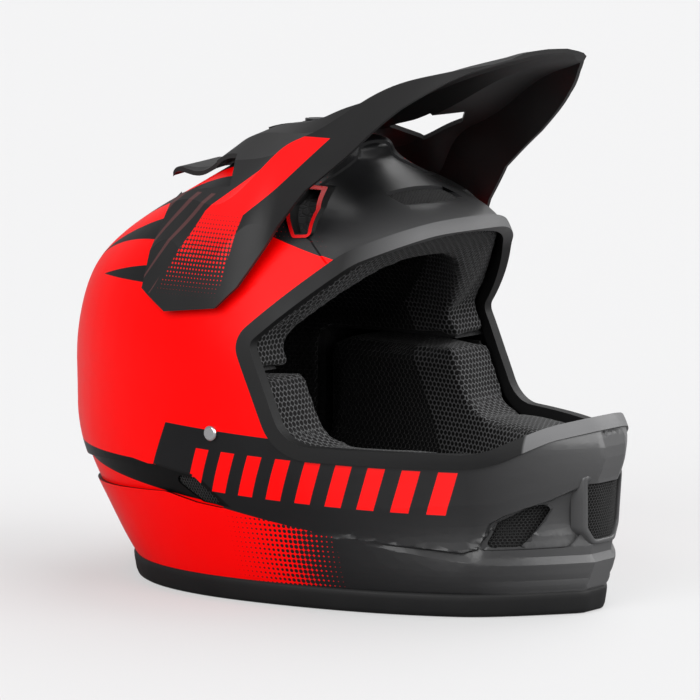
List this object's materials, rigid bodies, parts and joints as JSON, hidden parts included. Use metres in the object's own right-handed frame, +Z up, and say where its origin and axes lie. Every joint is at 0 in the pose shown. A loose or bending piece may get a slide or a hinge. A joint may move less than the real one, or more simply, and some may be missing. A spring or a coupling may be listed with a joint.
{
  "type": "downhill bike full face helmet",
  "caption": "Full face bike helmet with a chin bar, an open eye port, a tilting visor, removable cheek pads, foam liner and a chin strap.",
  "frame": {"origin": "middle of the bounding box in plan, on the plane that the base trim stands on", "axes": "+X forward through the chin bar, +Y to the wearer's left, +Z up"},
  "size_m": [0.3556, 0.2356, 0.303],
  "materials": {
    "shell_paint": "painted red and black, satin",
    "visor_plastic": "matt black with printed graphics",
    "trim_rubber": "soft black rubber",
    "foam": "moulded beads of expanded polystyrene",
    "lining_fabric": "open knitted mesh over foam",
    "plate_plastic": "moulded",
    "mesh_plastic": "moulded",
    "frame_plastic": "painted red",
    "steel": "polished",
    "insert_brass": "turned",
    "screw_metal": "black anodised",
    "webbing": "woven webbing"
  },
  "bodies": {
    "helmet": {"shell": "shell_paint", "eyeport_trim": "trim_rubber", "base_trim": "trim_rubber", "crown_foam": "foam", "comfort_liner": "lining_fabric", "chin_foam": "foam", "neck_roll": "lining_fabric", "snap_sockets": "plate_plastic", "front_mesh": "mesh_plastic", "side_mesh_left": "mesh_plastic", "side_mesh_right": "mesh_plastic", "brow_mesh": "mesh_plastic", "rear_meshes": "mesh_plastic", "side_vent_inserts": "mesh_plastic", "intake_frames": "frame_plastic", "grommets": "plate_plastic", "visor_insert": "insert_brass", "strap_rivets": "steel", "rivet_spacers": "plate_plastic", "rivet_washers": "steel", "strap_short": "webbing", "strap_long": "webbing", "strap_snap": "plate_plastic"},
    "visor": {"visor": "visor_plastic", "pivot_studs": "steel"},
    "visor_screw": {"visor_screw": "screw_metal", "visor_washer": "trim_rubber"},
    "cheek_pad_left": {"cheek_pad_left": "lining_fabric", "cheek_plate_left": "plate_plastic", "cheek_snaps_left": "plate_plastic"},
    "cheek_pad_right": {"cheek_pad_right": "lining_fabric", "cheek_plate_right": "plate_plastic", "cheek_snaps_right": "plate_plastic"},
    "d_rings": {"inner_d_ring": "steel", "outer_d_ring": "steel"}
  },
  "joints": [
    {"name": "visor_tilt", "type": "hinge", "parent": "helmet", "child": "visor", "pos_m": [-0.02775, 0, 0.174], "axis": [0, -1, 0], "range_deg": [-5, 5]},
    {"name": "visor_screw_turn", "type": "hinge", "parent": "helmet", "child": "visor_screw", "pos_m": [-0.02775, 0, 0.25], "axis": [0, 0, 1], "range_deg": [0, 180]},
    {"name": "cheek_pad_left_pull", "type": "slide", "parent": "helmet", "child": "cheek_pad_left", "axis": [0, -1, 0], "range_m": [0, 0.022]},
    {"name": "cheek_pad_right_pull", "type": "slide", "parent": "helmet", "child": "cheek_pad_right", "axis": [0, 1, 0], "range_m": [0, 0.022]},
    {"name": "d_ring_swing", "type": "hinge", "parent": "helmet", "child": "d_rings", "pos_m": [-0.0103, 0.03, 0.0058], "axis": [-1, 0, 0], "range_deg": [0, 80]}
  ]
}
